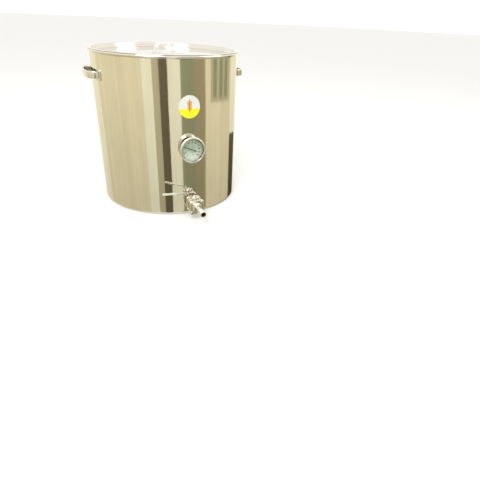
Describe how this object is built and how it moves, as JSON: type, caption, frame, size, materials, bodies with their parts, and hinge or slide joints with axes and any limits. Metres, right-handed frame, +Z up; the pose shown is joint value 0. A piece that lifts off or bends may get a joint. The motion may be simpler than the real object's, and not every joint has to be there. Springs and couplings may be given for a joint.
{
  "type": "brew kettle",
  "caption": "Cylindrical stainless kettle with a recessed lid, low side handles, a dial thermometer and a lever ball valve with a straight outlet spout.",
  "frame": {"origin": "centre of the kettle's flat base", "axes": "+Z up along the kettle's axis; -Y towards the front, along the outlet spout; +X to the right seen from the front"},
  "size_m": [0.552, 0.6235, 0.5306],
  "materials": {
    "polished_steel": "mirror polished stainless sheet with fine vertical drawing marks and a warm cast",
    "cast_steel": "bead-blasted cast stainless, slightly rough",
    "silicone": "matt red-brown silicone",
    "ptfe": "smooth white low-friction plastic",
    "grey_vinyl": "soft pale grey dipped vinyl",
    "dial_white": "pale greenish white enamel with black printed scale",
    "black_paint": "satin black",
    "label_film": "satin printed film, pale above and yellow below",
    "clear_glass": "clear flat glass",
    "bimetal": "bare bimetal wire"
  },
  "bodies": {
    "kettle": {"kettle_shell": "polished_steel", "handle_left": "polished_steel", "handle_right": "polished_steel", "handle_left_foot_front": "polished_steel", "handle_left_foot_rear": "polished_steel", "handle_right_foot_front": "polished_steel", "handle_right_foot_rear": "polished_steel", "thermometer_fitting": "polished_steel", "thermometer_locknut": "polished_steel", "thermometer_case": "polished_steel", "thermometer_bezel": "polished_steel", "thermometer_probe": "polished_steel", "bulkhead_washer": "polished_steel", "bulkhead_nipple": "polished_steel", "bulkhead_locknut": "polished_steel", "pickup_tube": "polished_steel", "gland_nut": "polished_steel", "outlet_spout": "polished_steel", "body_bolt_1": "polished_steel", "body_bolt_2": "polished_steel", "body_bolt_3": "polished_steel", "body_bolt_4": "polished_steel", "body_nut_1": "polished_steel", "body_nut_2": "polished_steel", "body_nut_3": "polished_steel", "body_nut_4": "polished_steel", "valve_body": "cast_steel", "valve_cap_front": "cast_steel", "valve_cap_rear": "cast_steel", "thermometer_seal": "silicone", "bulkhead_seal": "silicone", "valve_seat_front": "ptfe", "valve_seat_rear": "ptfe", "stem_packing": "ptfe", "thermometer_shaft_guide": "ptfe", "thermometer_dial": "dial_white", "label": "label_film", "thermometer_lens": "clear_glass", "thermometer_bimetal_coil": "bimetal"},
    "lid": {"lid": "polished_steel", "lid_handle": "polished_steel", "lid_handle_foot_left": "polished_steel", "lid_handle_foot_right": "polished_steel"},
    "valve_lever": {"valve_ball": "polished_steel", "valve_stem": "polished_steel", "lever": "polished_steel", "lever_sleeve": "grey_vinyl", "lever_nut": "polished_steel"},
    "pointer": {"thermometer_shaft": "polished_steel", "thermometer_pointer": "black_paint"}
  },
  "joints": [
    {"name": "lid_lift", "type": "slide", "parent": "kettle", "child": "lid", "axis": [0, 0, 1], "range_m": [0, 0.25]},
    {"name": "valve_turn", "type": "hinge", "parent": "kettle", "child": "valve_lever", "pos_m": [0, -0.285, 0.045], "axis": [0, 0, 1], "range_deg": [0, 90]},
    {"name": "pointer_turn", "type": "hinge", "parent": "kettle", "child": "pointer", "pos_m": [0, -0.27, 0.234], "axis": [0, 1, 0], "range_deg": [-69, 201], "stiffness_Nm_per_rad": 0.002}
  ]
}
